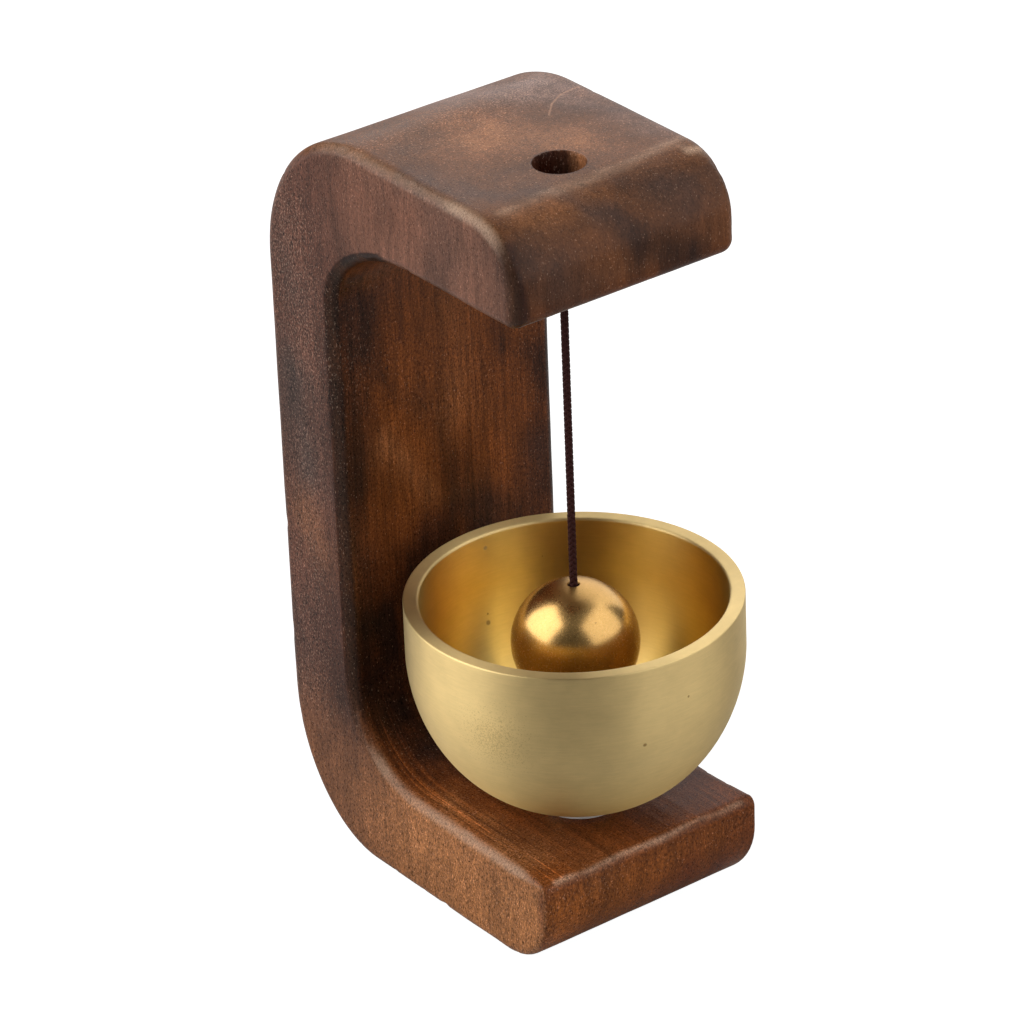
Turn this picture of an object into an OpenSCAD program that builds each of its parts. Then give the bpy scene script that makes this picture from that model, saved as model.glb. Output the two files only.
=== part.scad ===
// Door bell chime: a C-shaped wooden bracket with a brass bowl on its lower arm and a brass
// ball that hangs over the bowl on a cord and knocks on its inside.
// The front, where the C is open, faces -Y. The bracket stands on its lower arm, or is held
// by two magnets in its back. Lengths are in millimetres.

/* [Bracket] */
// Height of the bracket
bracket_h = 110; // [106:0.5:116]
// Width of the bracket, from side to side
bracket_w = 36.5; // [30:0.5:44]
// Depth of the lower arm, from the back to its front end
base_depth = 57.6; // [56:0.2:62]
// Depth of the top arm, from the back to its front end
top_depth = 55.6; // [54:0.2:60]
// Thickness of the lower arm
base_t = 14.6; // [14:0.1:16]
// Thickness of the top arm
top_t = 13.9; // [13:0.1:16]
// Thickness of the spine
spine_t = 14.9; // [13:0.1:16]
// Rounding of every side edge
edge_r = 1.8; // [1:0.1:2]
// Rounding of the crisp inner edge at the front end of each arm
nose_r = 2.2; // [2.1:0.1:3]

/* [Bowl] */
// Outer diameter of the bowl
bowl_d = 46; // [42:0.5:48]
// Wall thickness at the rim
bowl_wall = 2.1; // [1.6:0.1:2.4]
// Height of the bowl without its foot
bowl_h = 29.4; // [27:0.1:31]
// Height of the straight part of the wall, below the rim
bowl_straight = 7.8; // [6:0.1:9]
// Height of the foot
foot_h = 2; // [1.5:0.1:2.5]
// Diameter of the foot
foot_d = 10.6; // [10:0.1:11.4]

/* [Striker] */
// Distance from the back to the line on which the cord, ball and bowl are centred
axis_depth = 42; // [41:0.2:44]
// Diameter of the ball
ball_d = 17.8; // [15:0.2:19]
// Distance from the underside of the top arm to the centre of the ball
ball_drop = 57; // [55:0.5:58]
// Diameter of the cord
cord_d = 1.2; // [1:0.1:1.3]

/* [Fixings] */
// Diameter of the counterbore in the top arm
counterbore_d = 7; // [6:0.1:8]
// Depth of that counterbore
counterbore_depth = 7; // [6:0.5:8]
// Length of the wood screw under its head
screw_l = 16; // [14:0.5:17]
// Outer diameter of the screw's thread
screw_d = 3.5; // [3:0.1:4]
// Diameter of each back magnet
magnet_d = 12; // [8:0.5:14]
// Thickness of each back magnet
magnet_t = 3; // [2:0.5:4]

/* [Hidden] */
$fn = 64;

// The origin is at the middle of the whole footprint, which the bowl reaches past the arms.
back_y = (axis_depth + bowl_d / 2) / 2;
axis_y = back_y - axis_depth;

// Rounding of the bracket's outline, as [along the depth, along the height].
back_top_r = [21.9, 21.9];
back_foot_r = [17.9, 22.3];
front_top_r = [9, 8.6];
front_foot_r = [10.1, 10.1];
inner_top_r = [17.4, 11.2];
inner_foot_r = [13.9, 12.7];
arc_steps = 10;
edge_steps = 4;

// Heights.
arm_z = bracket_h - top_t;
counterbore_z = bracket_h - counterbore_depth;
ball_z = arm_z - ball_drop;
spacer_t = 0.5;
foot_z = base_t + spacer_t;
bowl_z = foot_z + foot_h;
rim_z = bowl_z + bowl_h;
wall_z = rim_z - bowl_straight;

// Bowl.
bowl_r = bowl_d / 2;
bowl_base_r = 6;
bowl_floor_r = 4.6;
bowl_floor_t = 2.3;
bowl_hole_r = screw_d / 2 + 0.2;
spacer_hole_r = screw_d / 2 + 0.3;
bowl_power = 2 / 1.9;
bowl_steps = 22;
rim_r = 0.3;

// Washers and screw.
spacer_r = 6;
washer_r = 4.2;
washer_t = 0.8;
washer_z = bowl_z + bowl_floor_t;
head_z = washer_z + washer_t;
head_r = 3.5;
head_t = 2.4;
// Rounding of the head's upper edge, as [along the radius, along the height].
head_round = [1, 1.3];
head_steps = 6;
slot_w = 0.9;
slot_l = 4.2;
slot_depth = 1.3;
thread_pitch = 1.3;
thread_l = 10;
// How far up the pitch each thread ring is widest, and where it ends.
thread_crest = 0.4;
thread_root = 0.8;
core_r = screw_d / 2 - 0.5;
shank_r = screw_d / 2 - 0.1;
shank_taper = 0.4;
tip_l = 3;
tip_r = 0.4;
tip_round = 0.2;
fit_gap = 0.05;

// Magnets.
magnet_zs = [34, 76];

// Cord.
cord_r = cord_d / 2;
arm_hole_r = cord_r + 0.4;
ball_hole_r = cord_r + 0.08;
ball_mouth_r = cord_r + 0.3;
top_knot_r = 1.9;
ball_knot_r = 1.6;
knot_cut = 1.1;
ball_r = ball_d / 2;
pocket_r = 2.1;
pocket_depth = 4.5;
pocket_z = ball_z - ball_r + pocket_depth;
// Gap between parts that turn on each other.
turn_gap = 0.05;

// How far a cutting shape runs past the face that it cuts.
over = 1;

wood_colour = [0.30, 0.18, 0.13];
bowl_colour = [0.80, 0.68, 0.40];
ball_colour = [0.66, 0.49, 0.24];
cord_colour = [0.17, 0.07, 0.07];
steel_colour = [0.78, 0.78, 0.78];
nylon_colour = [0.90, 0.89, 0.86];
magnet_colour = [0.74, 0.74, 0.76];

// Points of an elliptical arc about c, with radii r, from angle a to angle b.
function arc(c, r, a, b) = [for (i = [0:arc_steps])
    let (t = a + (b - a) * i / arc_steps) [c[0] + r[0] * cos(t), c[1] + r[1] * sin(t)]];

// Outside of the C, from the front end of the lower arm round the back to the top arm.
// Points are [distance from the back, height], and d is how far the outline is drawn in.
function outer_path(d) = concat(
    arc([base_depth, 0] + [-front_foot_r[0], front_foot_r[1]], front_foot_r - [d, d], 0, -90),
    arc(back_foot_r, back_foot_r - [d, d], 270, 180),
    arc([back_top_r[0], bracket_h - back_top_r[1]], back_top_r - [d, d], 180, 90),
    arc([top_depth, bracket_h] - front_top_r, front_top_r - [d, d], 90, 0));

// Inside of the C, in the same order and with as many points.
function inner_path(d) = concat(
    arc([base_depth - nose_r, base_t - nose_r], [nose_r - d, nose_r - d], 0, 90),
    arc([spine_t, base_t] + inner_foot_r, inner_foot_r + [d, d], 270, 180),
    arc([spine_t + inner_top_r[0], arm_z - inner_top_r[1]], inner_top_r + [d, d], 180, 90),
    arc([top_depth - nose_r, arm_z + nose_r], [nose_r - d, nose_r - d], 270, 360));

// One closed ring of the bracket's surface, at x.
function ring(x, d) = let (a = outer_path(d), b = inner_path(d), n = len(b))
    [for (p = concat(a, [for (i = [n - 1:-1:0]) b[i]])) [x, back_y - p[0], p[1]]];

// Rounded side edges, as [x, how far the outline is drawn in] from the left face to the right.
edge_half = [for (i = [0:edge_steps]) let (t = 90 * i / edge_steps)
    [bracket_w / 2 - edge_r * (1 - cos(t)), edge_r * (1 - sin(t))]];
edge_levels = concat([for (i = [0:edge_steps]) [-edge_half[i][0], edge_half[i][1]]],
    [for (i = [edge_steps:-1:0]) [edge_half[i][0], edge_half[i][1]]]);

// The solid between the rings. Each end is a ladder of strips between outside and inside.
module rounded_c() {
    half = 4 * (arc_steps + 1);
    size = 2 * half;
    last = (len(edge_levels) - 1) * size;
    points = [for (level = edge_levels) each ring(level[0], level[1])];
    sides = [for (k = [0:len(edge_levels) - 2], i = [0:size - 1])
        let (a = k * size + i, b = k * size + (i + 1) % size) [a, a + size, b + size, b]];
    left_end = [for (i = [0:half - 2]) [i, i + 1, size - 2 - i, size - 1 - i]];
    right_end = [for (f = left_end) [f[3] + last, f[2] + last, f[1] + last, f[0] + last]];
    polyhedron(points = points, faces = concat(sides, left_end, right_end), convexity = 6);
}

// Cylinder that stands on the line of the cord, between two heights.
module on_axis(r, low, high) {
    translate([0, axis_y, low]) cylinder(r = r, h = high - low);
}

// Cylinder along the depth, at height z, from t inside the back face to past behind it.
module disc_in_back(z, r, t, past) {
    translate([0, back_y - t, z]) rotate([-90, 0, 0]) cylinder(r = r, h = t + past);
}

module walnut_bracket() {
    color(wood_colour) difference() {
        rounded_c();
        on_axis(counterbore_d / 2, counterbore_z, bracket_h + over);
        on_axis(arm_hole_r, arm_z - over, counterbore_z + over);
        on_axis(screw_d / 2 + fit_gap, head_z - screw_l - fit_gap, base_t + over);
        for (z = magnet_zs) {
            disc_in_back(z, magnet_d / 2 + fit_gap, magnet_t + fit_gap, over);
        }
    }
}

module upper_magnet() {
    color(magnet_colour) disc_in_back(magnet_zs[1], magnet_d / 2, magnet_t, 0);
}

module lower_magnet() {
    color(magnet_colour) disc_in_back(magnet_zs[0], magnet_d / 2, magnet_t, 0);
}

// Flat ring that lies on the line of the cord.
module washer(inner, outer, z, t) {
    difference() {
        on_axis(outer, z, z + t);
        on_axis(inner, z - over, z + t + over);
    }
}

module bowl_spacer() {
    color(nylon_colour) washer(spacer_hole_r, spacer_r, base_t, spacer_t);
}

module screw_washer() {
    color(steel_colour) washer(bowl_hole_r, washer_r, washer_z, washer_t);
}

// Curve of a bowl's side: flat at the bottom, [r0, z0], and upright at the top, [r1, z1].
function bowl_side(r0, z0, r1, z1) = [for (i = [0:bowl_steps])
    let (t = 90 * i / bowl_steps)
    [r0 + (r1 - r0) * pow(sin(t), bowl_power), z1 - (z1 - z0) * pow(cos(t), bowl_power)]];

module brass_bowl() {
    inner_r = bowl_r - bowl_wall;
    inside = bowl_side(bowl_floor_r, washer_z, inner_r, wall_z);
    outline = concat(
        [[bowl_hole_r, foot_z], [foot_d / 2, foot_z], [foot_d / 2, bowl_z]],
        bowl_side(bowl_base_r, bowl_z, bowl_r, wall_z),
        [[bowl_r, rim_z - rim_r], [bowl_r - rim_r, rim_z]],
        [[inner_r + rim_r, rim_z], [inner_r, rim_z - rim_r]],
        [for (i = [bowl_steps:-1:0]) inside[i]],
        [[bowl_hole_r, washer_z]]);
    color(bowl_colour) translate([0, axis_y, 0]) rotate_extrude() polygon(outline);
}

// Pan-head wood screw. The thread is a row of rings.
module bowl_screw() {
    turns = floor(thread_l / thread_pitch);
    tip_z = head_z - screw_l;
    thread_z = tip_z + tip_l;
    shank_z = thread_z + turns * thread_pitch;
    top_z = head_z + head_t;
    thread = [for (i = [0:turns - 1]) let (z = thread_z + i * thread_pitch)
        each [[core_r, z], [screw_d / 2, z + thread_pitch * thread_crest],
            [core_r, z + thread_pitch * thread_root]]];
    head = [for (i = [0:head_steps]) let (t = 90 * i / head_steps)
        [head_r, top_z] - [head_round[0] * (1 - cos(t)), head_round[1] * (1 - sin(t))]];
    outline = concat([[0, tip_z], [tip_r, tip_z + tip_round]], thread,
        [[core_r, shank_z], [shank_r, shank_z + shank_taper], [shank_r, head_z]],
        [[head_r, head_z]], head, [[0, top_z]]);
    color(steel_colour) translate([0, axis_y, 0]) difference() {
        rotate_extrude() polygon(outline);
        for (turn = [0, 90]) {
            translate([0, 0, top_z]) rotate([0, 0, turn])
                cube([slot_l, slot_w, 2 * slot_depth], center = true);
        }
    }
}

// Knot of radius r with a flat face towards the stop it pulls on. dir is 1 with the knot above.
module knot(r, z, dir) {
    translate([0, axis_y, z]) difference() {
        translate([0, 0, dir * knot_cut]) sphere(r = r);
        translate([0, 0, -dir * r]) cube(2 * r, center = true);
    }
}

module top_knot() {
    color(cord_colour) knot(top_knot_r, counterbore_z, 1);
}

module cord_in_arm() {
    color(cord_colour) on_axis(cord_r, arm_z + cord_r + turn_gap, counterbore_z);
}

// The hanging cord swings about the centre of its round top end, in the mouth of the arm's hole.
module striker_cord() {
    color(cord_colour) {
        on_axis(cord_r, pocket_z - turn_gap, arm_z);
        translate([0, axis_y, arm_z]) sphere(r = cord_r);
    }
}

module ball_knot() {
    color(cord_colour) knot(ball_knot_r, pocket_z - turn_gap, -1);
}

module striker_ball() {
    mouth = ball_mouth_r - ball_hole_r;
    color(ball_colour) difference() {
        translate([0, axis_y, ball_z]) sphere(r = ball_r);
        on_axis(ball_hole_r, pocket_z - over, ball_z + ball_r + over);
        on_axis(pocket_r, ball_z - ball_r - over, pocket_z);
        translate([0, axis_y, ball_z + ball_r - mouth])
            cylinder(r1 = ball_hole_r, r2 = ball_mouth_r + mouth, h = 2 * mouth);
    }
}

walnut_bracket();
upper_magnet();
lower_magnet();
bowl_spacer();
brass_bowl();
screw_washer();
bowl_screw();
top_knot();
cord_in_arm();
striker_cord();
ball_knot();
striker_ball();
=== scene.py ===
"""Door bell chime: a walnut bracket, a turned brass bowl and a brass ball on a braided cord.

The row frame has +Z up and the open front at -Y. Meshes are worked out in millimetres in
that frame, and mesh_object() turns them into the frame's metres.
"""

import math

import bmesh
import bpy
import numpy as np
from mathutils import Matrix, Vector, noise


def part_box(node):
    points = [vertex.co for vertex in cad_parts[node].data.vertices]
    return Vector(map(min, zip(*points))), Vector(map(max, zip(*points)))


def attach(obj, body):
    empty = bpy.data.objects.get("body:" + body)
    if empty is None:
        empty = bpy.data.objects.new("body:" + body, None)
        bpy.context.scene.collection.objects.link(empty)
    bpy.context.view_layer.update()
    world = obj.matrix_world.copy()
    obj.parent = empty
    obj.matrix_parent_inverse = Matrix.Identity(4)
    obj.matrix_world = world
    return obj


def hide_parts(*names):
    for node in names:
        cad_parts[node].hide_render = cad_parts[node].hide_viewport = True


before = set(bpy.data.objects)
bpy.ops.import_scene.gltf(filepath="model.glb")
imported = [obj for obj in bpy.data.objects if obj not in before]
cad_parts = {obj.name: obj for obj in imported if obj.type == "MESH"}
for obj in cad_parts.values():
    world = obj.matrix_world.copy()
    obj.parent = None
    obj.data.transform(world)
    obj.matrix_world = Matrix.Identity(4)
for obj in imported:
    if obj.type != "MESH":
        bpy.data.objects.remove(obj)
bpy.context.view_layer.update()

MM = 0.001


def box_mm(node):
    """Lowest and highest corner of a CAD node, in millimetres."""
    return [np.array(corner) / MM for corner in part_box(node)]


# ---------------- places from the frame

BRACKET_LOW, BRACKET_HIGH = box_mm("walnut_bracket")
BOWL_LOW, BOWL_HIGH = box_mm("brass_bowl")
BALL_LOW, BALL_HIGH = box_mm("striker_ball")
CORD_LOW, CORD_HIGH = box_mm("striker_cord")
ARM_CORD_LOW, ARM_CORD_HIGH = box_mm("cord_in_arm")
SCREW_LOW, SCREW_HIGH = box_mm("bowl_screw")
TOP_KNOT_FOOT = box_mm("top_knot")[0][2]
BALL_KNOT_TOP = box_mm("ball_knot")[1][2]
BASE_T = box_mm("bowl_spacer")[0][2]
BOWL_FLOOR_Z = box_mm("screw_washer")[0][2]

BACK_Y = BRACKET_HIGH[1]
AXIS_Y = (BOWL_LOW[1] + BOWL_HIGH[1]) / 2
BRACKET_W = BRACKET_HIGH[0] - BRACKET_LOW[0]
BRACKET_H = BRACKET_HIGH[2]
CORD_D = CORD_HIGH[0] - CORD_LOW[0]
PIVOT_Z = CORD_HIGH[2] - CORD_D / 2
BALL_R = (BALL_HIGH[2] - BALL_LOW[2]) / 2
BALL_Z = (BALL_HIGH[2] + BALL_LOW[2]) / 2

# ---------------- the bracket's outline
# Lengths as [along the depth from the back, along the height].

BASE_DEPTH = BACK_Y - BRACKET_LOW[1]
TOP_DEPTH = 55.6
TOP_T = BRACKET_H - PIVOT_Z
SPINE_T = 14.9
INNER_Y = BACK_Y - SPINE_T
EDGE_R = 1.8
BASE_NOSE_R = 1.6
ARM_NOSE_R = 2.2
# Share of EDGE_R at the lower arm's front, and the outline points over which it changes.
FRONT_EDGE = 0.38
EDGE_BLEND = 13
BACK_TOP_R = np.array([21.9, 21.9])
BACK_FOOT_R = np.array([17.9, 22.3])
FRONT_TOP_R = np.array([9.0, 8.6])
FRONT_FOOT_R = np.array([10.1, 10.1])
INNER_TOP_R = np.array([17.4, 11.2])
INNER_FOOT_R = np.array([13.9, 12.7])

# Steps along the outline: front end, arm, bend, spine, bend, arm, front end.
OUTLINE_STEPS = [14, 40, 44, 56, 44, 40, 14]
RUNGS = 30
FLAT_COLUMNS = 104
ROUND_COLUMNS = 9

COUNTERBORE_R = 3.5
COUNTERBORE_Z = ARM_CORD_HIGH[2]
ARM_HOLE_R = 1.0
PILOT_R = 1.8
MAGNET_GAP = 0.1


# ---------------- mesh helpers

def add_object(name, data):
    """A new object in the scene."""
    thing = bpy.data.objects.new(name, data)
    bpy.context.scene.collection.objects.link(thing)
    return thing


def mesh_object(name, points, faces):
    """A mesh object from points in millimetres and faces as lists of indices."""
    mesh = bpy.data.meshes.new(name)
    mesh.from_pydata((np.asarray(points, float) * MM).tolist(), [], [list(f) for f in faces])
    mesh.validate()
    return add_object(name, mesh)


def smooth(thing, crease=40):
    """Smooth shading, with edges sharper than crease degrees left sharp, and faces outward."""
    mesh = thing.data
    work = bmesh.new()
    work.from_mesh(mesh)
    bmesh.ops.recalc_face_normals(work, faces=work.faces)
    for face in work.faces:
        face.smooth = True
    for edge in work.edges:
        edge.smooth = edge.calc_face_angle(math.pi) < math.radians(crease)
    work.to_mesh(mesh)
    work.free()


def weld(thing, distance):
    """Joins points that are within distance of each other, in metres."""
    work = bmesh.new()
    work.from_mesh(thing.data)
    bmesh.ops.remove_doubles(work, verts=work.verts, dist=distance)
    work.to_mesh(thing.data)
    work.free()


def grid(rows, columns, wrap_rows=False):
    """Quads round rings of points numbered ring by ring."""
    i = np.arange(rows if wrap_rows else rows - 1)[:, None]
    j = np.arange(columns)[None, :]
    i2, j2 = (i + 1) % rows, (j + 1) % columns
    corners = [i * columns + j, i2 * columns + j, i2 * columns + j2, i * columns + j2]
    return np.stack(np.broadcast_arrays(*corners), axis=-1).reshape(-1, 4)


def lathe(name, profile, sides, centre=(0, 0), closed=True):
    """Turns a profile of [radius, height] about the vertical through centre."""
    profile = np.array(profile, float)
    turn = np.linspace(0, 2 * np.pi, sides, endpoint=False)
    radius, height = profile[:, 0][:, None], profile[:, 1][:, None]
    points = np.stack([
        centre[0] + radius * np.cos(turn), centre[1] + radius * np.sin(turn),
        height + 0 * turn], axis=-1).reshape(-1, 3)
    faces = grid(len(profile), sides, wrap_rows=closed)
    thing = mesh_object(name, points, faces)
    weld(thing, 1e-8)
    return thing


def arc(centre, radii, start, end, steps):
    """Points of an elliptical arc, with angles in degrees."""
    turn = np.radians(np.linspace(start, end, steps + 1))
    return np.stack([
        centre[0] + radii[0] * np.cos(turn), centre[1] + radii[1] * np.sin(turn)], axis=1)


def rounded(points, radius, steps=3, closed=True):
    """A profile with each corner turned into a small arc-like curve of that size."""
    points = np.array(points, float)
    result = []
    count = len(points)
    for i, corner in enumerate(points):
        if not closed and i in (0, count - 1):
            result.append(corner)
            continue
        before, after = points[i - 1], points[(i + 1) % count]
        a, b = before - corner, after - corner
        a_len, b_len = np.linalg.norm(a), np.linalg.norm(b)
        size = min(radius, a_len * 0.45, b_len * 0.45)
        start, end = corner + a / a_len * size, corner + b / b_len * size
        for t in np.linspace(0, 1, steps + 1):
            result.append((1 - t) ** 2 * start + 2 * t * (1 - t) * corner + t ** 2 * end)
    return result


def cut(thing, cutters):
    """Takes the cutters out of thing."""
    for cutter in cutters:
        hole = thing.modifiers.new("hole", "BOOLEAN")
        hole.operation = "DIFFERENCE"
        hole.solver = "MANIFOLD"
        hole.object = cutter
    bpy.context.view_layer.update()
    seen = thing.evaluated_get(bpy.context.evaluated_depsgraph_get())
    result = bpy.data.meshes.new_from_object(seen)
    thing.modifiers.clear()
    thing.data = result
    for cutter in cutters:
        bpy.data.objects.remove(cutter)


def point_vectors(thing, kind):
    """The place ("co", in metres) or the normal ("normal") of each point of the mesh."""
    values = np.empty(len(thing.data.vertices) * 3)
    thing.data.vertices.foreach_get(kind, values)
    return values.reshape(-1, 3)


def positions(thing):
    """The mesh's points in millimetres."""
    return point_vectors(thing, "co") / MM


def paint(thing, name, values):
    """Stores one number, or one colour, for each point of the mesh."""
    values = np.asarray(values, float)
    if values.ndim == 1:
        layer = thing.data.attributes.new(name, "FLOAT", "POINT")
        layer.data.foreach_set("value", values)
    else:
        layer = thing.data.attributes.new(name, "FLOAT_COLOR", "POINT")
        opaque = np.ones((len(values), 1))
        layer.data.foreach_set("color", np.hstack([values, opaque]).ravel())


def finished(thing, body, slot, material, *nodes):
    """Gives a piece its finish and its body, and hides the CAD nodes that it stands for."""
    thing.data.materials.clear()
    thing.data.materials.append(material)
    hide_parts(*nodes)
    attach(thing, body)
    return thing


def blend(old, new, share):
    """Colours of one row per point, part of the way from old to new."""
    return old + (np.asarray(new) - old) * np.asarray(share)[:, None]


def ramp(value, none, full):
    """0 at none and before, 1 at full and beyond, and a smooth rise between."""
    t = np.clip((value - none) / (full - none), 0, 1)
    return t * t * (3 - 2 * t)


def bell(value, width):
    """1 where the value is 0, and falling smoothly to 0 over about twice the width."""
    return np.exp(-(value / width) ** 2)


def direction(azimuth, elevation):
    """Unit vector towards a place at angles in degrees: azimuth 0 is the front."""
    a, e = math.radians(azimuth), math.radians(elevation)
    return Vector((math.sin(a) * math.cos(e), -math.cos(a) * math.cos(e), math.sin(e)))


def lay_back(y, z):
    """Turns a lathed piece's height towards the front and moves it to y, z."""
    return Matrix.Translation(Vector((0, y, z)) * MM) @ Matrix.Rotation(math.radians(90), 4, "X")


def fractal(points, size, octaves, seed):
    """Noise from about -1 to 1 at points in millimetres, with features of about that size."""
    shift = Vector((seed * 13.7, seed * 7.1, seed * 3.3))
    total = np.zeros(len(points))
    for octave in range(octaves):
        scale = 2.0 ** octave / size
        total += np.array([
            noise.noise(Vector(p) * scale + shift) for p in points]) * 0.5 ** octave
    return total


# ---------------- material helpers

class Shader:
    """Short calls that build one material's nodes."""

    def __init__(self, name, **constants):
        self.material = bpy.data.materials.new(name)
        self.material.use_nodes = True
        self.nodes = self.material.node_tree.nodes
        self.links = self.material.node_tree.links
        self.bsdf = self.nodes["Principled BSDF"]
        for socket, value in constants.items():
            self.feed(self.bsdf.inputs[socket.replace("_", " ")], value)

    def add(self, kind, inputs, output=0, **settings):
        node = self.nodes.new("ShaderNode" + kind)
        for key, value in settings.items():
            setattr(node, key, value)
        for key, value in inputs.items():
            self.feed(node.inputs[key], value)
        return node.outputs[output]

    def feed(self, socket, value):
        """Links a socket to a value that varies, or sets it to one that doesn't."""
        if isinstance(value, bpy.types.NodeSocket):
            self.links.new(value, socket)
        elif socket.type == "RGBA" and len(value) == 3:
            socket.default_value = (*value, 1)
        else:
            socket.default_value = value

    def place(self, stretch=(1, 1, 1), shift=(0, 0, 0)):
        """The point on the piece in millimetres, scaled along each axis."""
        spot = self.add("TexCoord", {}, output="Object")
        return self.add("Mapping", {
            "Vector": spot, "Scale": [s / MM for s in stretch], "Location": shift})

    def noise(self, where, scale, detail=2.0, roughness=0.5):
        return self.add("TexNoise", {
            "Vector": where, "Scale": scale, "Detail": detail, "Roughness": roughness})

    def calc(self, operation, a, b=0.0, c=0.0):
        return self.add("Math", {0: a, 1: b, 2: c}, operation=operation)

    def step(self, value, low, high, out_low=0.0, out_high=1.0):
        """Value as it goes from low to high, turned into out_low to out_high."""
        return self.add("MapRange", {
            "Value": value, "From Min": low, "From Max": high,
            "To Min": out_low, "To Max": out_high}, clamp=True)

    def mix(self, share, a, b, mode="MIX"):
        node = self.nodes.new("ShaderNodeMix")
        node.data_type = "RGBA"
        node.blend_type = mode
        for index, value in ((0, share), (6, a), (7, b)):
            self.feed(node.inputs[index], value)
        return node.outputs[2]

    def times(self, colour, factor):
        """A colour or a number times another."""
        return self.mix(1.0, colour, factor, "MULTIPLY")

    def distance_from(self, centre):
        """Distance in millimetres from a point on the piece."""
        return self.add(
            "VectorMath", {0: self.place(), 1: centre}, output="Value", operation="DISTANCE")

    def distance_from_line(self, start, end):
        """Distance in millimetres from the straight line between two points."""
        line = Vector(end) - Vector(start)
        from_start = self.add(
            "VectorMath", {0: self.place(), 1: start}, operation="SUBTRACT")
        share = self.add("VectorMath", {
            0: from_start, 1: line / line.length_squared}, output="Value", operation="DOT_PRODUCT")
        foot = self.add("VectorMath", {
            0: line, "Scale": self.step(share, 0, 1)}, operation="SCALE")
        return self.add("VectorMath", {
            0: from_start, 1: foot}, output="Value", operation="DISTANCE")

    def attribute(self, name, output="Fac"):
        return self.add("Attribute", {}, output=output, attribute_name=name)

    def bump(self, height, strength, distance):
        """Relief from a height of 0 to 1, with its distance in millimetres."""
        return self.add("Bump", {
            "Height": height, "Strength": strength, "Distance": distance * MM})

    def to(self, socket, value):
        self.links.new(value, self.bsdf.inputs[socket])


# ---------------- camera

CAMERA_AZIMUTH = -36.26
CAMERA_ELEVATION = 28.47
CAMERA_ROLL = -2.3
CAMERA_DISTANCE = 0.7414
CAMERA_TARGET = Vector((-0.0002, 0.0035, 0.0536))
CAMERA_LENS = 193.1


def make_camera():
    azimuth, roll = math.radians(CAMERA_AZIMUTH), math.radians(CAMERA_ROLL)
    back = direction(CAMERA_AZIMUTH, CAMERA_ELEVATION)
    right = Vector((math.cos(azimuth), math.sin(azimuth), 0))
    up = back.cross(right)
    right, up = (
        math.cos(roll) * right + math.sin(roll) * up,
        math.cos(roll) * up - math.sin(roll) * right)
    data = bpy.data.cameras.new("camera")
    data.lens = CAMERA_LENS
    data.sensor_width = 36
    data.clip_start = 0.01
    data.clip_end = 20
    camera = add_object("camera", data)
    turn = Matrix((right, up, back)).transposed().to_4x4()
    camera.matrix_world = Matrix.Translation(CAMERA_TARGET + back * CAMERA_DISTANCE) @ turn
    bpy.context.scene.camera = camera


# ---------------- cord

# The braid: strands that run each way round, over one and under the next.
STRANDS_EACH_WAY = 4
BRAID_PITCH = 3.4
BRAID_R = 0.365
BRAID_WAVE = 0.085
STRAND_WIDTH = 0.46
STRAND_THICK = 0.27
STRAND_SIDES = 8
CORE_R = 0.30
CORD_STEP = 0.09


def along(points):
    """Distance from the first point to each."""
    steps = np.linalg.norm(np.diff(points, axis=0), axis=1)
    return np.concatenate([[0], np.cumsum(steps)])


def curve_through(points, step):
    """A smooth line through given points, with a point about every step."""
    points = np.array(points, float)
    padded = np.vstack([2 * points[0] - points[1], points, 2 * points[-1] - points[-2]])
    fine = []
    for i in range(1, len(padded) - 2):
        p0, p1, p2, p3 = padded[i - 1:i + 3]
        for t in np.linspace(0, 1, 24, endpoint=False):
            fine.append(0.5 * (
                2 * p1 + (p2 - p0) * t + (2 * p0 - 5 * p1 + 4 * p2 - p3) * t ** 2
                + (3 * p1 - p0 - 3 * p2 + p3) * t ** 3))
    fine = np.array(fine + [points[-1]])
    length = along(fine)
    at = np.linspace(0, length[-1], max(2, round(length[-1] / step)))
    return np.stack([np.interp(at, length, fine[:, k]) for k in range(3)], axis=1)


def unit(vectors):
    """Each vector at length 1."""
    return vectors / np.linalg.norm(vectors, axis=-1, keepdims=True)


def frames_along(line):
    """Two unit vectors across the line at each point, with no twist."""
    tangent = unit(np.gradient(line, axis=0))
    side = np.cross(tangent[0], [0.3, 1.0, 0.2])
    first = []
    for t in tangent:
        side = unit(side - t * side.dot(t))
        first.append(side)
    first = np.array(first)
    return first, np.cross(tangent, first)


def tube(line, first, second, width, thick, sides):
    """Points and faces of a closed tube with an elliptical section and pinched round ends."""
    turn = np.linspace(0, 2 * np.pi, sides, endpoint=False)
    taper = np.ones(len(line))
    ends = min(3, len(line) // 3)
    taper[:ends] = np.sin(np.linspace(0.25, 1.4, ends))
    taper[-ends:] = taper[:ends][::-1]
    ring = (first[:, None] * (np.cos(turn)[:, None] * width / 2)
            + second[:, None] * (np.sin(turn)[:, None] * thick / 2))
    points = (line[:, None] + ring * taper[:, None, None]).reshape(-1, 3)
    faces = [list(f) for f in grid(len(line), sides)]
    last = len(points) - sides
    faces.append(list(range(sides))[::-1])
    faces.append([last + i for i in range(sides)])
    return points, faces


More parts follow.
